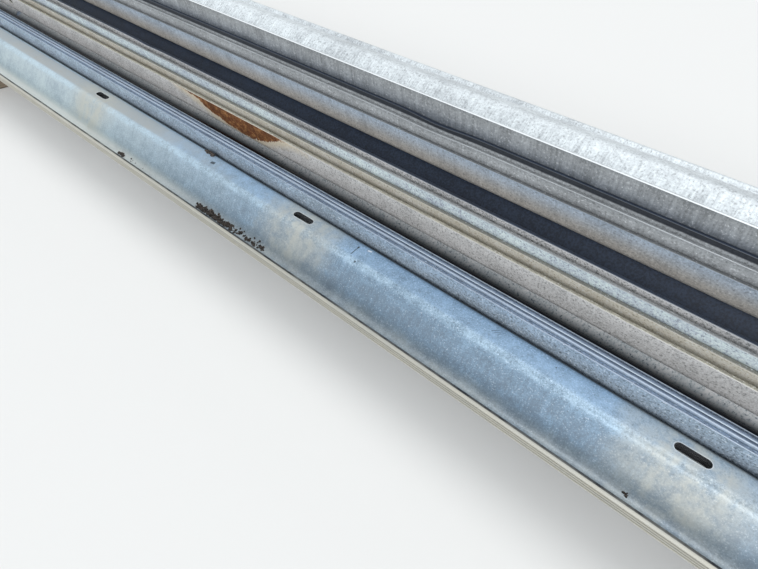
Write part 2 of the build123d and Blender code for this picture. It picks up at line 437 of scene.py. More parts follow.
def slot_wear(on, near_slot, ring, zinc):
    """A cloudy stain round each slot, a painted highlight on its rim and painted shade on its
    walls.
    """
    wear = bpy.context.scene.wear_finish
    patchy = (near_slot + sway(on.wide, 0.20) + sway(on.blotch, 0.16)).rise(*SLOT_STAIN)
    reached = (on.across + sway(on.blotch, 0.06)).rise(*STAINED) * on.across.rise(*STAIN_END)
    cloudy = on.blotch * 0.45 + on.smear * 0.25 + on.wash * 0.30 + sway(on.grain, 0.2)
    stain = patchy * reached * (0.22 + cloudy.rise(0.36, 0.60) * 0.6) * on.upside
    zinc = mixed(zinc, wear.slot_stain, stain)
    # Painted highlight: a pale rim round each slot
    zinc = mixed(zinc, wear.slot_rim_highlight, ring.rise(*SLOT_RIM_HIGHLIGHT) * on.upside * 0.5)
    # Painted shade: the slots' walls near-black
    return mixed(zinc, wear.slot_wall_shade, ring.rise(*SLOT_WALL_SHADE) * abs(on.side).rise(0.93, 0.80))


def rusted(on, zinc, start, end, high, low):
    """The zinc with a rust patch on its under side, and where the rust is."""
    wear = bpy.context.scene.wear_finish
    along = (on.x - start) / (end - start)
    swell = along.band(-0.05, 0.50, 0.62, 1.05)
    limit = swell * (low - high) + high + sway(on.blotch, 0.030) + sway(on.run, 0.020)
    below = 1.0 - on.upside
    inside = along.rise(0.0, 0.10) * (along + sway(on.blotch, 0.30)).rise(1.03, 0.90) * below
    around = along.rise(-0.14, 0.05) * (along + sway(on.blotch, 0.40)).rise(1.20, 0.96) * below
    past = on.across - limit
    core = inside * past.rise(0.0015, -0.0015)
    rim = around * (past + sway(on.smear, 0.016) + sway(on.blotch, 0.03)).rise(0.036, 0.004)
    ochre = mixed(wear.rust_rim, wear.rust, (on.grain * 0.5 + on.smear * 0.5).rise(0.40, 0.55))
    burnt = mixed(ochre, shaded(wear.rust, 0.6), on.blotch.rise(0.42, 0.62) * 0.8)
    rust = mixed(ochre, burnt, (limit - on.across).rise(0.001, 0.010))
    return mixed(mixed(zinc, wear.rust_halo, rim * 0.8), rust, core), core


def scored(on, zinc, marks):
    """The zinc with dark strokes and light scratches on its flat."""
    wear = bpy.context.scene.wear_finish
    for from_x, from_y, to_x, to_y, width, dark in marks:
        run_x, run_y = to_x - from_x, to_y - from_y
        size = math.hypot(run_x, run_y)
        ahead = ((on.x - from_x) * run_x + (on.rail_y - from_y) * run_y) / (size * size)
        aside = abs((on.x - from_x) * (run_y / size) - (on.rail_y - from_y) * (run_x / size))
        line = ahead.band(-0.02, 0.02, 0.98, 1.02) * aside.rise(width, width * 0.4)
        zinc = mixed(zinc, wear.grime_and_shade if dark else wear.scratch, line * on.upside * 0.85)
    return zinc


def galvanised(name, upper, under, seed, crest=None, mottle=0.5, streaks=0.4, speckle=0.2,
               fine=210.0, depth=0.26, still=0.0, sheen=0.5, metal=0.25, edge=0.15,
               front=False, covered=False, deep=None, shade=False, patch=None, marks=()):
    """Weathered zinc for one rail.

    upper, under, crest: colours of the two sides, and of the under side at its crests
    mottle, streaks, speckle: how strong its clouds, its runs and its flecks are
    fine, depth, still: the flecks' scale, how dark the tones go, how calm the upper side is
    sheen, metal, edge: roughness, metallic value, and how bright the painted highlight on the lips'
    edges is
    front, covered: for the front nest, and for a rail in it with another one on it, which gets
    painted shade on its upper side
    deep, shade: how far across the near trough's painted shade reaches, and a painted shadow under
    the near lip
    patch, marks: as RUST_PATCH and NAIL_MARK
    """
    finish, wear = bpy.context.scene.pile_finish, bpy.context.scene.wear_finish
    made, tree, shader = bare_material(name)
    on = sheet_surface(tree, seed, fine)
    tone, zinc = plain_zinc(on, upper, under, crest, mottle, streaks, speckle, depth, still)
    rough = sheen + sway(on.blotch, 0.22) + sway(on.grain, 0.14)
    metallic = metal - sway(on.grain, 0.05)

    if front:
        near_slot = on.x.maths("PINGPONG", on.x, SLOT_PITCH / 2)
        reach = near_slot.maths("MAXIMUM", near_slot - SLOT_STRAIGHT, 0.0)
        ring = (reach * reach + on.across * on.across) ** 0.5
        zinc = slot_wear(on, near_slot, ring, front_wear(on, tone, zinc))
        if covered:
            # Painted shade on the upper side of a rail with another rail on it, round its slots and
            # everywhere but its lips; it is also made rougher and not metallic
            soil = on.upside * (ring.rise(*SLOT_SHADE) + abs(on.across).rise(*OPEN_LIP)).clamped()
            zinc = mixed(zinc, wear.grime_and_shade, soil * 0.95)
            rough = rough + soil * 0.2
            metallic = metallic * (1.0 - soil)
    if edge:
        # Painted highlight along the lips' edges
        zinc = mixed(zinc, finish.edge_highlight, abs(on.across).rise(*CUT_EDGE) * edge)
    if deep:
        # Painted shade: the near trough goes near-black and fully metallic up to this reach
        soil = on.upside * on.across.rise(deep + TROUGH_SHADE_WIDTH, deep)
        zinc = mixed(zinc, wear.trough_shadow, soil)
        metallic = (metallic + soil).clamped()
    if shade:
        # Painted shadow: the under side darkened just below the near lip
        soil = on.across.rise(*UNDER_LIP) * (1.0 - on.upside)
        zinc = mixed(zinc, wear.lip_shadow, soil * 0.95)
    if patch:
        zinc, rust = rusted(on, zinc, *patch)
        rough = rough + rust * 0.35
        metallic = metallic * (1.0 - rust)
    zinc = scored(on, zinc, marks)

    relief = on.blotch * 0.5 + on.smear * 0.25 + on.wide * 0.8 + on.grain * 0.12 + on.run * 0.10
    feed(shader, Base_Color=zinc, Metallic=metallic.clamped(), Roughness=rough.clamped(),
         Normal=bumped(relief, 0.0012, 0.45))
    return made


# Meshes

def put(name, data):
    """A new object in the scene."""
    made = bpy.data.objects.new(name, data)
    bpy.context.scene.collection.objects.link(made)
    return made


def mark_points(mesh, name, values):
    """Stores a value or a vector for each point."""
    values = np.array(values, dtype=np.float32)
    kind, field = ("FLOAT", "value") if values.ndim == 1 else ("FLOAT_VECTOR", "vector")
    mesh.attributes.new(name, kind, "POINT").data.foreach_set(field, values.ravel())


def smooth(mesh, crease):
    """Smooth shading with sharp edges from an angle in degrees."""
    for polygon in mesh.polygons:
        polygon.use_smooth = True
    mesh.set_sharp_from_angle(angle=math.radians(crease))


def points_of(mesh):
    """Where a mesh's points lie."""
    spots = np.zeros(len(mesh.vertices) * 3)
    mesh.vertices.foreach_get("co", spots)
    return spots.reshape(-1, 3)


# Rail mesh

CUTTER_REACH = 0.008


def section_line(sizes, bend_step=math.radians(12), wall_step=0.013):
    """The sheet's middle line from lip to lip: points and left-hand normals."""
    a, b = sizes.inner_wall, sizes.outer_wall
    crest_y = sizes.crest_spacing / 2
    radius = sizes.crest_radius
    round_z = -(sizes.depth - sizes.thickness) + radius
    flat_y = crest_y - (radius - round_z * math.cos(a)) / math.sin(a)
    lip_y = crest_y + (radius - (round_z + sizes.lip_drop) * math.cos(b)) / math.sin(b)
    fall_a, fall_b = math.tan(a), math.tan(b)
    apex_y = (flat_y * fall_a + sizes.lip_drop + lip_y * fall_b) / (fall_a + fall_b)
    half = [(flat_y, 0.0), (apex_y, -(apex_y - flat_y) * fall_a), (lip_y, -sizes.lip_drop),
            (sizes.width / 2, -sizes.lip_drop)]
    radii = [sizes.flat_bend_radius, radius, sizes.lip_bend_radius, 0.0]
    corners = np.array([(-y, z) for y, z in reversed(half)] + half)
    radii = radii[::-1] + radii
    points, normals = [corners[0]], []
    for i in range(1, len(corners) - 1):
        back = corners[i] - corners[i - 1]
        ahead = corners[i + 1] - corners[i]
        first = math.atan2(back[1], back[0])
        turn = (math.atan2(ahead[1], ahead[0]) - first + math.pi) % (2 * math.pi) - math.pi
        side = math.copysign(1.0, turn)
        start = corners[i] - back / np.linalg.norm(back) * radii[i] * math.tan(abs(turn) / 2)
        left = np.array([-math.sin(first), math.cos(first)])
        centre = start + left * radii[i] * side
        steps = max(2, math.ceil(abs(turn) / bend_step))
        spans = max(1, round(float(np.linalg.norm(start - points[-1])) / wall_step))
        if not normals:
            normals.append(left)
        origin = points[-1]
        for k in range(1, spans):
            points.append(origin + (start - origin) * k / spans)
            normals.append(left)
        for k in range(steps + 1):
            heading = first + turn * k / steps
            normal = np.array([-math.sin(heading), math.cos(heading)])
            points.append(centre - normal * radii[i] * side)
            normals.append(normal)
    points.append(corners[-1])
    normals.append(normals[-1])
    return np.array(points), np.array(normals)


def sheet_loop(sizes):
    """The closed outline of the sheet, with round lip edges."""
    points, normals = section_line(sizes)
    half = sizes.thickness / 2
    count = len(points)
    upper = points + normals * half
    under = points - normals * half
    inwards = np.array([half, 0])
    far, near = [], []
    for k in range(1, 4):
        angle = math.pi * k / 4
        turn = np.array([math.sin(angle), math.cos(angle)])
        far.append(points[-1] + turn * half - inwards)
        near.append(points[0] - turn * half + inwards)
    for face in (upper, under):
        face[-1] -= inwards
        face[0] += inwards
    return np.concatenate([upper, far, under[::-1], near]), count


def slot_outline(long, wide, steps=9):
    """The points of a slot, long along X."""
    radius = wide / 2
    reach = long / 2 - radius
    out = []
    for side in (1, -1):
        for k in range(steps + 1):
            angle = math.pi * k / steps - math.pi / 2
            out.append((side * (reach + radius * math.cos(angle)), side * radius * math.sin(angle)))
    return out


def cutter_mesh(sizes, slots):
    """A rail's slot and splice hole cutters in one mesh."""
    points, normals = section_line(sizes)
    verts, faces = [], []

    def cutter(outline, x, y, z, turn):
        c, s = math.cos(turn), math.sin(turn)
        first = len(verts)
        count = len(outline)
        for level in (-CUTTER_REACH, CUTTER_REACH):
            for px, py in outline:
                verts.append((x + px, y + py * c - level * s, z + py * s + level * c))
        faces.append(range(first + count - 1, first - 1, -1))
        faces.append(range(first + count, first + 2 * count))
        for k in range(count):
            a, b = first + k, first + (k + 1) % count
            faces.append([a, b, b + count, a + count])

    post = slot_outline(sizes.slot_length, sizes.slot_width)
    splice = slot_outline(sizes.splice_length, sizes.splice_width)
    for i in slots:
        cutter(post, i * SLOT_PITCH, 0.0, 0.0, 0.0)
    straight = []
    for angle, sign in ((sizes.inner_wall, 1), (sizes.outer_wall, -1)):
        on_wall = [p for p, n in zip(points, normals)
                   if p[0] > 0 and abs(math.atan2(-n[0], n[1]) + sign * angle) < 1e-6]
        straight.append(((on_wall[0] + on_wall[-1]) / 2, -sign * angle))
    for end in END_SLOTS:
        for column in (-1, 1):
            for spot, angle in straight:
                for side in (1, -1):
                    cutter(splice, end * SLOT_PITCH + column * sizes.splice_offset,
                           side * float(spot[0]), float(spot[1]), side * angle)
    mesh = bpy.data.meshes.new("slot_cutters")
    mesh.from_pydata(verts, [], faces)
    return mesh


def rail_pattern(slots):
    """One straight rail with its holes, and where each point lies on the sheet."""
    title = "rail_pattern_%d" % len(slots)
    if title in bpy.data.meshes:
        return bpy.data.meshes[title]
    sizes = bpy.context.scene.rail_sizes
    loop, count = sheet_loop(sizes)
    low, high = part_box("rail_flat_1")
    half = (high.x - low.x) / 2
    ring = len(loop)
    stations = np.linspace(-half, half, sizes.stations)
    verts = np.zeros((len(stations), ring, 3))
    verts[:, :, 0] = stations[:, None]
    verts[:, :, 1:] = loop
    faces = []
    for start in range(0, (len(stations) - 1) * ring, ring):
        for k in range(ring):
            a, b = start + k, start + (k + 1) % ring
            faces.append((b, a, a + ring, b + ring))
    last = 2 * count + 3
    caps = [(k, k + 1, 2 * count + 1 - k, 2 * count + 2 - k) for k in range(count - 1)]
    caps += [(count - 1, count, count + 2, count + 3), (count, count + 1, count + 2),
             (0, last + 2, last, last - 1), (last + 2, last + 1, last)]
    end = (len(stations) - 1) * ring
    for cap in caps:
        faces.append(tuple(cap))
        faces.append(tuple(end + k for k in reversed(cap)))
    solid = bpy.data.meshes.new("rail_blank")
    solid.from_pydata(verts.reshape(-1, 3).tolist(), [], faces)
    if solid.validate():
        raise RuntimeError("bad faces in the rail's blank")
    blank = put("rail_blank", solid)
    cutters = put("slot_cutters", cutter_mesh(sizes, slots))
    cut = blank.modifiers.new("holes", "BOOLEAN")
    cut.operation = "DIFFERENCE"
    cut.solver = "EXACT"
    cut.object = cutters
    shown = blank.evaluated_get(bpy.context.evaluated_depsgraph_get())
    pattern = bpy.data.meshes.new_from_object(shown)
    pattern.name = title
    for piece in (blank, cutters):
        bpy.data.objects.remove(piece)

    spots = points_of(pattern)
    points, normals = section_line(sizes, bend_step=math.radians(2), wall_step=0.0015)
    steps = np.linalg.norm(np.diff(points, axis=0), axis=1)
    arc = np.concatenate([[0.0], np.cumsum(steps)]) - steps.sum() / 2
    nearest = np.array([int(np.argmin(((points - p) ** 2).sum(axis=1))) for p in spots[:, 1:]])
    offset = ((spots[:, 1:] - points[nearest]) * normals[nearest]).sum(axis=1)
    sheet = np.stack([spots[:, 0], arc[nearest], offset / (sizes.thickness / 2)], axis=1)
    mark_points(pattern, "rail_place", spots)
    mark_points(pattern, "sheet_place", sheet)
    smooth(pattern, 35)
    pattern.use_fake_user = True
    return pattern


def placing(node):
    """Where a rail lies, from its solid: slip along X, middle of its flat, and tilt."""
    spots = points_of(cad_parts[node].data)
    slip = (spots[:, 0].min() + spots[:, 0].max()) / 2
    flat = np.unique(np.round(spots[:, 1:], 6), axis=0)
    spread = np.cov(flat.T)
    tilt = 0.5 * math.atan2(2 * spread[0, 1], spread[0, 0] - spread[1, 1])
    c, s = math.cos(tilt), math.sin(tilt)
    turned = flat @ np.array([[c, -s], [s, c]])
    mid_y = (turned[:, 0].min() + turned[:, 0].max()) / 2
    mid_z = turned[:, 1].max() - bpy.context.scene.rail_sizes.thickness / 2
    return slip, mid_y * c - mid_z * s, mid_y * s + mid_z * c, tilt


# How far each lapped rail rides up off the one below, from the lowest to the top, in millimetres:
# a steady swing (height, wave length in metres, phase) and a local rise (x, reach, height)
RIDE_UP = {
    "rail_low_1": ((0.1, 2.3, 0.4), (0.0, 0.5, 0.0)),
    "rail_low_2": ((0.2, 1.7, 2.0), (-0.9, 0.5, 0.2)),
    "rail_low_3": ((0.2, 1.3, 4.0), (0.9, 0.4, 0.2)),
    "rail_low_4": ((0.2, 1.9, 1.1), (-0.3, 0.5, 0.3)),
    "rail_middle_1": ((0.2, 2.9, 5.2), (0.62, 0.42, 0.9)),
    "rail_middle_2": ((0.2, 2.1, 3.3), (-1.2, 0.5, 0.3)),
    "rail_middle_3": ((0.2, 1.6, 0.9), (-1.4, 0.6, 0.6)),
    "rail_middle_4": ((0.2, 2.4, 2.6), (0.3, 0.5, 0.2)),
    "rail_high_1": ((0.2, 3.1, 1.9), (-0.6, 0.6, 0.2)),
    "rail_high_2": ((0.2, 1.8, 4.4), (0.7, 0.5, 0.2)),
    "rail_high_3": ((0.2, 2.2, 0.2), (0.75, 0.4, 0.3)),
    "rail_top_1": ((0.2, 2.7, 3.0), (-0.2, 0.7, 0.3)),
}

# A rail that rides up also slides back by this share of its rise
LAP_SLIDE = 0.35

# Knocks in a near lip: x, reach along X and how far it is pushed out, and down by half of that.
# They start this far from the slot line and are full after the spread.
KNOCK_START, KNOCK_SPREAD = 0.118, 0.032
KNOCKS = {
    "rail_high_3": (0.262, 0.060, 0.0055),
    "rail_high_2": (0.235, 0.085, 0.0030),
    "rail_middle_4": (-0.78, 0.050, 0.0022),
}


def ride_up(node, x):
    """How far a rail and the lapped ones below it ride up in all, at each x, in metres."""
    total = np.zeros_like(x)
    lapped = list(RIDE_UP)
    below = lapped.index(node) + 1 if node in lapped else 0
    for (height, wave, phase), (place, reach, rise) in list(RIDE_UP.values())[:below]:
        total += height * (0.5 + 0.5 * np.sin(2 * math.pi * x / wave + phase))
        total += rise * np.exp(-((x - place) / reach) ** 2)
    return total * MM


def lay_rail(node, material):
    """Makes one rail where its solid lies and lets it stand for that solid."""
    mesh = rail_pattern(END_SLOTS if node.startswith("rail_top") else EVERY_SLOT).copy()
    x, y, z = points_of(mesh).T
    slip, at_y, at_z, tilt = placing(node)
    if node in KNOCKS:
        place, reach, push = KNOCKS[node]
        soft = np.clip((-y - KNOCK_START) / KNOCK_SPREAD, 0, 1) ** 2
        soft *= np.exp(-((x + slip - place) / reach) ** 2)
        y = y - soft * push
        z = z - soft * push * 0.5
    c, s = math.cos(tilt), math.sin(tilt)
    rise = ride_up(node, x + slip)
    place = np.stack([x + slip,
                      at_y + y * c - z * s + rise * LAP_SLIDE,
                      at_z + y * s + z * c + rise], axis=1)
    mesh.vertices.foreach_set("co", place.astype(np.float32).ravel())
    mesh.update()
    mesh.name = node + "_sheet"
    mesh.materials.clear()
    mesh.materials.append(material)
    rail = put(node + "_sheet", mesh)
    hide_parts(node)
    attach(rail, "root")


# Timber bearers

WORN_ARRIS = 0.006
SAWN_DEPTH, SAWN_SWING = 0.0007, 0.0009
SIDE_POINTS, BEARER_STATIONS = 7, 70

# How deep the saw dips into the end grain, and the rings of points that close an end
END_DIP, LEAST_DIP = 0.0012, 0.0002
END_RINGS = (0.999, 0.7, 0.4)


def sawn_timber(name, seed):
    """Rough-sawn weathered softwood with darker end grain."""
    finish = bpy.context.scene.pile_finish
    made, tree, shader = bare_material(name)
    cut_end = stored(tree, "cut_end", output="Fac")
    drift = (seed * 2.1, seed, seed * 0.7)
    spot = stretched(stored(tree, "timber_place"), (1.0, 1.0, 1.0), drift)
    across, _, up = spot.parts()
    bent = cloud(stretched(spot, (5.0, 1.2, 5.0)), 1.0, 2.0)
    heart = ((across - drift[0] + 0.03) ** 2.0 + (up - drift[2] - 0.09) ** 2.0) ** 0.5
    turns = (heart + bent * 0.035) * 900.0
    rings = turns.maths("SINE", turns)
    fibre = cloud(stretched(spot, (1.0, 0.03, 1.0)), 420.0, 4.0, 0.7)
    saw = cloud(stretched(spot, (0.05, 1.0, 0.05)), 300.0, 2.0)
    stain = cloud(spot, 7.0, 4.0)
    specks = cloud(spot, 160.0, 2.0)
    tone = (0.5 + rings * 0.16 + sway(fibre, 1.1) + sway(saw, 0.5)).clamped()
    tint = mixed(shaded(finish.timber, 0.55), shaded(finish.timber, 1.5), tone)
    tint = mixed(tint, finish.timber_grey, stain.rise(0.42, 0.68) * 0.55)
    tint = mixed(tint, shaded(finish.timber, 0.28), specks.rise(0.66, 0.74) * 0.6)
    tint = mixed(tint, shaded(finish.timber, 0.50), cut_end * 0.65)
    relief = fibre * 0.6 + saw * 0.35 + rings * 0.06 + stain * 0.4
    feed(shader, Base_Color=tint, Roughness=(0.86 - sway(fibre, 0.2)).clamped(),
         Normal=bumped(relief, 0.0022, 0.7))
    return made


def timber_lie(node):
    """Centre, half size and turn of a bearer, from its solid."""
    spots = points_of(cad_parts[node].data)
    middle = (spots.min(axis=0) + spots.max(axis=0)) / 2
    values, vectors = np.linalg.eigh(np.cov((spots[:, :2] - middle[:2]).T))
    run = vectors[:, int(np.argmax(values))]
    if run[1] < 0:
        run = -run
    aside = np.array([run[1], -run[0]])
    flat = spots[:, :2] - middle[:2]
    half = [np.abs(flat @ aside).max(), np.abs(flat @ run).max(),
            (spots[:, 2].max() - spots[:, 2].min()) / 2]
    return middle, half, run, aside


def lay_bearer(node, material, seed):
    """A squared timber with worn arrises, a little uneven, inside its solid's faces."""
    middle, half, run, aside = timber_lie(node)
    edge, worn = half[0], WORN_ARRIS
    side = [(edge, v) for v in np.linspace(-edge + worn, edge - worn, SIDE_POINTS)]
    for angle in (0.33 * math.pi / 2, 0.67 * math.pi / 2):
        side.append((edge - worn + worn * math.cos(angle), edge - worn + worn * math.sin(angle)))
    section = [(u * c - w * s, u * s + w * c)
               for c, s in ((1, 0), (0, 1), (-1, 0), (0, -1)) for u, w in side]
    count, stations = len(section), BEARER_STATIONS
    verts, local, ends, faces = [], [], [], []

    def point(u, w, along, depth, cut_end):
        local.append((u, along, w))
        ends.append(cut_end)
        pull = 1.0 - depth / edge
        u, w = u * pull, w * pull
        flat = middle[:2] + aside * u + run * along
        verts.append((flat[0], flat[1], middle[2] + w))

    for i in range(stations):
        along = -half[1] + 2 * half[1] * i / (stations - 1)
        for u, w in section:
            rough = noise.fractal(Vector((u * 22, along * 5 + seed, w * 22)), 1.0, 2.0, 4)
            point(u, w, along, max(0.0, SAWN_DEPTH + SAWN_SWING * rough), 0.0)
    for start in range(0, (stations - 1) * count, count):
        for k in range(count):
            a, b = start + k, start + (k + 1) % count
            faces.append((a, b, b + count, a + count))
    for end in (0, 1):
        along = half[1] if end else -half[1]
        rim = end * (stations - 1) * count
        for shrink in END_RINGS:
            first = len(verts)
            for u, w in section:
                saw = abs(noise.noise(Vector((u * 90, seed + end * 5, w * 90))))
                dip = END_DIP * saw + LEAST_DIP
                inwards = -dip if end else dip
                point(u * shrink, w * shrink, along + inwards, SAWN_DEPTH * shrink, 1.0)
            for k in range(count):
                quad = (rim + k, rim + (k + 1) % count, first + (k + 1) % count, first + k)
                faces.append(quad if end else quad[::-1])
            rim = first
        cap = range(rim, rim + count)
        faces.append(cap if end else cap[::-1])
    mesh = bpy.data.meshes.new(node + "_timber")
    mesh.from_pydata(verts, [], faces)
    if mesh.validate():
        raise RuntimeError("bad faces in a bearer")
    mark_points(mesh, "timber_place", local)
    mark_points(mesh, "cut_end", ends)
    smooth(mesh, 40)
    mesh.materials.append(material)
    timber = put(node + "_timber", mesh)
    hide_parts(node)
    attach(timber, "root")


# Crumbs of soil in the front rail's near trough and in the crevice behind its flat: from x, to x,
# y from the slot line, the spread, the number and the size
GRIT = (
    (-0.344, -0.057, -0.0905, 0.0050, 120, 0.0056),
    (-0.335, -0.195, -0.0920, 0.0035, 60, 0.0078),
    (-0.742, -0.712, -0.0930, 0.0030, 20, 0.0064),
    (-0.690, -0.600, -0.0920, 0.0030, 12, 0.0034),
    (0.896, 0.903, -0.0895, 0.0020, 8, 0.0043),
    (-0.434, -0.392, 0.0245, 0.0020, 30, 0.0060),
)

# Half the flat's width, the mean fall just beside it, and how much of its radius a crumb stands up
FLAT_HALF, FLAT_FALL, CRUMB_RISE = 0.0205, 0.35, 0.30
GRIT_SEED = 7


def crumb_material():
    """Dry dark soil."""
    wear = bpy.context.scene.wear_finish
    made, tree, shader = bare_material("soil_crumbs")
    place = Wire.add(tree, "ShaderNodeTexCoord", output="Object")
    lump = cells(place, 300.0)
    grain = cloud(place, 900.0, 3.0, 0.7)
    tint = mixed(shaded(wear.grit, 0.12), shaded(wear.grit, 1.5),
                 (lump * 0.9 + grain * 0.5 - 0.2).clamped())
    feed(shader, Base_Color=tint, Roughness=(0.95 - grain * 0.15).clamped(),
         Normal=bumped(grain, 0.0006, 0.8))
    return made


def upper_face(across):
    """Height of the sheet's upper face over the slot plane, on the flat and in a crest."""
    sizes = bpy.context.scene.rail_sizes
    inner = sizes.crest_radius - sizes.thickness / 2
    off = abs(abs(across) - sizes.crest_spacing / 2)
    if off > inner * math.sin(sizes.inner_wall):
        return -max(0.0, abs(across) - FLAT_HALF) * FLAT_FALL
    return sizes.crest_radius - sizes.depth - math.sqrt(inner * inner - off * off)


def scatter_grit():
    """The crumbs, as one piece lying on the front rail."""
    _, line_y, plane_z, _ = placing("rail_flat_4")
    chance = np.random.default_rng(GRIT_SEED)
    shape = bmesh.new()
    for from_x, to_x, at_y, spread, count, size in GRIT:
        for k in range(count):
            radius = size * chance.uniform(0.35, 1.0)
            across = at_y + min(2.0 * spread, max(-1.5 * spread, chance.normal(0.0, spread)))
            spot = Vector((from_x + (to_x - from_x) * (k + chance.uniform(0.0, 1.0)) / count,
                           line_y + across, plane_z + upper_face(across) + radius * CRUMB_RISE))
            made = bmesh.ops.create_icosphere(shape, subdivisions=2, radius=radius)
            stretch = Vector(chance.uniform(0.6, 1.25, 3).tolist())
            shift = Vector(chance.uniform(0.0, 50.0, 3).tolist())
            for vert in made["verts"]:
                bulge = 1.0 + 0.55 * noise.noise(vert.co / radius * 1.3 + shift)
                vert.co = Vector([c * s for c, s in zip(vert.co * bulge, stretch)]) + spot
    mesh = bpy.data.meshes.new("trough_grit")
    shape.to_mesh(mesh)
    shape.free()
    mesh.materials.append(crumb_material())
    grit = put("trough_grit", mesh)
    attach(grit, "root")


# Operators

# Strokes on the front rail's flat: from x, y to x, y, the half width, and whether dark
NAIL_MARK = (
    (0.1735, 0.0107, 0.1785, 0.0107, 0.0042, True),
    (0.176, 0.0107, 0.1778, -0.017, 0.0016, True),
    (0.200, 0.0164, 0.210, 0.0193, 0.0030, False),
    (0.199, -0.0286, 0.203, -0.0286, 0.0030, True),
)
HATCHING = tuple((0.548 + 0.007 * k, 0.004, 0.560 + 0.007 * k, 0.016, 0.0008, True)
                 for k in range(3))
SPOTS = (
    (-0.372, -0.002, -0.358, 0.001, 0.0070, True),
    (0.690, 0.008, 0.692, 0.009, 0.0022, True),
)

# The rust's start and end along X, and its far and near limit over the sheet
RUST_PATCH = (-0.640, -0.150, -0.222, -0.158)


class LayRails:
    """Shared by the operators that lay one nest of rails"""
    bl_options = {"REGISTER", "UNDO"}

    def execute(self, context):
        finishes = self.finishes(context.scene.pile_finish)
        nodes = sorted(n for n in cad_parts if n.startswith("rail_" + self.nest))
        if len(nodes) != len(finishes):
            raise RuntimeError("the nest %s has %d rails" % (self.nest, len(nodes)))
        for node, finish in zip(nodes, finishes):
            lay_rail(node, galvanised(node + "_zinc", **finish))
        return {"FINISHED"}


class RAILPILE_OT_front_nest(LayRails, bpy.types.Operator):
    """Lays the level rails at the front"""
    bl_idname = "railpile.front_nest"
    bl_label = "Front nest"
    nest = "flat"

    def finishes(self, finish):
        look = dict(upper=finish.zinc_blue, under=finish.zinc_grey, edge=0.0, front=True)
        # The three rails under the top one are covered: painted shade on their upper sides
        return [dict(look, seed=k + 1.0, covered=True) for k in range(3)] + [
            dict(look, seed=4.4, mottle=0.62, streaks=0.50, speckle=0.36, fine=330.0, sheen=0.43,
                 metal=0.30, marks=NAIL_MARK + HATCHING + SPOTS)]


class RAILPILE_OT_low_nest(LayRails, bpy.types.Operator):
    """Lays the first lapped nest"""
    bl_idname = "railpile.low_nest"
    bl_label = "Low nest"
    nest = "low"

    def finishes(self, finish):
        look = dict(upper=finish.lap_upper, under=finish.lap_lips_lit)
        return [dict(look, under=finish.lap_under, seed=11.0, mottle=0.7, streaks=0.5, speckle=0.7),
                dict(look, seed=12.0),
                dict(look, seed=13.0),
                # Its upper side is lightened as painted light, and its near trough blackened as
                # painted shade
                dict(look, upper=finish.lap_last_lit, seed=14.0, speckle=0.7, edge=0.0, deep=-0.099)]


class RAILPILE_OT_middle_nest(LayRails, bpy.types.Operator):
    """Lays the second lapped nest, with the rust patch on its first rail"""
    bl_idname = "railpile.middle_nest"
    bl_label = "Middle nest"
    nest = "middle"

    def finishes(self, finish):
        # The darkened upper sides of the first three rails give painted shade lines along their
        # lips
        return [dict(upper=shaded(finish.zinc_cream, 0.7), under=finish.band_white,
                     crest=finish.band_crest, seed=21.0, streaks=0.35, speckle=0.62, depth=0.40,
                     patch=RUST_PATCH),
                dict(upper=shaded(finish.zinc_cream, 0.3), under=finish.band_cream, seed=22.0,
                     streaks=0.2, speckle=0.4, edge=0.0),
                dict(upper=shaded(finish.zinc_pale, 0.35), under=finish.band_blue, seed=23.0,
                     streaks=0.2, speckle=0.5, depth=0.36, edge=0.0),
                # Painted shade on this rail's upper side, its trough behind the nest
                dict(upper=finish.zinc_in_shade, under=finish.zinc_pale, seed=24.0, speckle=0.9,
                     depth=0.45, still=1.0)]


class RAILPILE_OT_high_nest(LayRails, bpy.types.Operator):
    """Lays the third lapped nest"""
    bl_idname = "railpile.high_nest"
    bl_label = "High nest"
    nest = "high"

    def finishes(self, finish):
        grey = finish.zinc_grey
        # The first rail's darkened upper side gives a painted shade line along its lip, and its
        # crest colour is painted light
        return [dict(upper=shaded(grey, 0.35), under=finish.high_under, crest=finish.high_crest_lit,
                     seed=31.0, streaks=0.6, speckle=0.35, edge=0.0),
                dict(upper=grey, under=shaded(grey, 0.95), seed=32.0, speckle=0.4, edge=0.0),
                # Painted shade on this rail's upper side, and a painted shadow under its near lip
                dict(upper=finish.zinc_in_shade, under=shaded(grey, 1.1), seed=33.0, speckle=0.4,
                     still=1.0, edge=0.0, shade=True)]


class RAILPILE_OT_top_rail(LayRails, bpy.types.Operator):
    """Lays the rail on top"""
    bl_idname = "railpile.top_rail"
    bl_label = "Top rail"
    nest = "top"

    def finishes(self, finish):
        # The white upper side is painted sunlight, the dark crests painted shade, and the bright
        # lips' edges a painted highlight
        return [dict(upper=finish.zinc_sunlit, under=shaded(finish.zinc_grey, 0.76),
                     crest=finish.top_crest_shade, seed=41.0, mottle=0.45, streaks=1.0, speckle=0.25,
                     depth=0.36, edge=1.0)]


class RAILPILE_OT_bearers(bpy.types.Operator):
    """Makes the two rough timbers under the pile"""
    bl_idname = "railpile.bearers"
    bl_label = "Bearers"

    def execute(self, context):
        for k, node in enumerate(("bearer_left", "bearer_right")):
            lay_bearer(node, sawn_timber(node + "_wood", k + 1.0), k * 7.3)
        return {"FINISHED"}


class RAILPILE_OT_grit(bpy.types.Operator):
    """Drops crumbs of soil into the front rail's trough"""
    bl_idname = "railpile.grit"
    bl_label = "Grit"

    def execute(self, context):
        scatter_grit()
        return {"FINISHED"}


# Spread of each lamp in degrees, and the direction that it shines from
KEY_FROM = (40, (0.10, 0.20, 0.97))
FILL_FROM = (30, (0.38, -0.76, 0.53))
FLOOR_REACH, FLOOR_DROP = 40.0, 0.0005
CAMERA_SENSOR, CAMERA_LENS = 36.0, 27.07

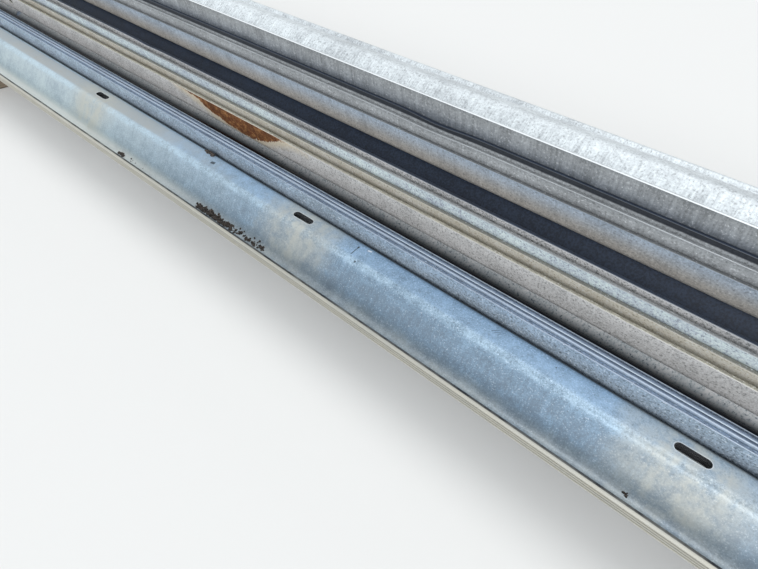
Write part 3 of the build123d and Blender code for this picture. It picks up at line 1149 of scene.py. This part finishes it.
# The camera's place from the front rail's slot line, and its turn in degrees
CAMERA_PLACE = (0.874, -0.7006, 0.8773)
CAMERA_TURN = (44.92, 0.0, 41.75)


class RAILPILE_OT_stage(bpy.types.Operator):
    """Sets the floor, the lights and the camera"""
    bl_idname = "railpile.stage"
    bl_label = "Stage"

    def execute(self, context):
        scene = context.scene
        looks = scene.stage_looks
        mesh = bpy.data.meshes.new("floor")
        corners = [(x * FLOOR_REACH, y * FLOOR_REACH, 0)
                   for x, y in ((-1, -1), (1, -1), (1, 1), (-1, 1))]
        mesh.from_pydata(corners, [], [(0, 1, 2, 3)])
        floor = put("floor", mesh)
        floor.location.z = -FLOOR_DROP
        made, tree, shader = bare_material("floor_paint")
        seen = Wire.add(tree, "ShaderNodeLightPath", output="Is Camera Ray")
        path = seen.socket.node.outputs
        for ray in ("Is Glossy Ray", "Is Transmission Ray"):
            seen = seen + Wire(tree, path[ray])
        feed(shader, Base_Color=mixed(looks.bounce, looks.floor, seen.clamped()), Roughness=0.9)
        mesh.materials.append(made)

        world = scene.world or bpy.data.worlds.new("World")
        scene.world = world
        world.use_nodes = True
        tree = world.node_tree
        tree.nodes.clear()
        seen = Wire.add(tree, "ShaderNodeLightPath", output="Is Camera Ray")
        back = Wire.add(tree, "ShaderNodeBackground", None,
                        {"Color": mixed(looks.sky, looks.backdrop, seen),
                         "Strength": seen * (1.0 - looks.ambient) + looks.ambient})
        tree.links.new(back.socket, tree.nodes.new("ShaderNodeOutputWorld").inputs["Surface"])

        for name, energy, spread, source in (("soft_key", looks.key, *KEY_FROM),
                                             ("soft_fill", looks.fill, *FILL_FROM)):
            lamp = bpy.data.lights.new(name, "SUN")
            lamp.energy = energy
            lamp.angle = math.radians(spread)
            turn = Vector(source).to_track_quat("Z", "Y").to_euler()
            put(name, lamp).rotation_euler = turn

        _, line_y, plane_z, _ = placing("rail_flat_4")
        camera = put("camera", bpy.data.cameras.new("camera"))
        camera.data.sensor_width, camera.data.lens = CAMERA_SENSOR, CAMERA_LENS
        camera.location = Vector((0.0, line_y, plane_z)) + Vector(CAMERA_PLACE)
        camera.rotation_euler = [math.radians(turn) for turn in CAMERA_TURN]
        scene.camera = camera
        scene.view_settings.view_transform = "Standard"
        return {"FINISHED"}


class RAILPILE_PT_panel(bpy.types.Panel):
    """Lists the pile's pieces"""
    bl_label = "Guardrail pile"
    bl_space_type = "VIEW_3D"
    bl_region_type = "UI"
    bl_category = "Guardrail pile"

    def draw(self, context):
        for setting in SETTINGS:
            group = getattr(context.scene, setting)
            for name in group.bl_rna.properties.keys():
                if name not in ("rna_type", "name"):
                    self.layout.prop(group, name)
        for operator in PIECES:
            self.layout.operator(operator.bl_idname)


PIECES = (RAILPILE_OT_front_nest, RAILPILE_OT_low_nest, RAILPILE_OT_middle_nest,
          RAILPILE_OT_high_nest, RAILPILE_OT_top_rail, RAILPILE_OT_bearers, RAILPILE_OT_grit,
          RAILPILE_OT_stage)
SETTINGS = {"rail_sizes": RailSizes, "pile_finish": PileFinish, "wear_finish": WearFinish,
            "stage_looks": StageLooks}
CLASSES = (*SETTINGS.values(), *PIECES, RAILPILE_PT_panel)


def register():
    """Adds the classes and the scene's settings."""
    for kind in CLASSES:
        bpy.utils.register_class(kind)
    for setting, group in SETTINGS.items():
        setattr(bpy.types.Scene, setting, PointerProperty(type=group))


def unregister():
    """Removes them again."""
    for setting in SETTINGS:
        delattr(bpy.types.Scene, setting)
    for kind in reversed(CLASSES):
        bpy.utils.unregister_class(kind)


def main():
    """Makes every piece in turn."""
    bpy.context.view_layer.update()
    register()
    for piece in PIECES:
        group, name = piece.bl_idname.split(".")
        getattr(getattr(bpy.ops, group), name)()


if __name__ == "__main__":
    main()
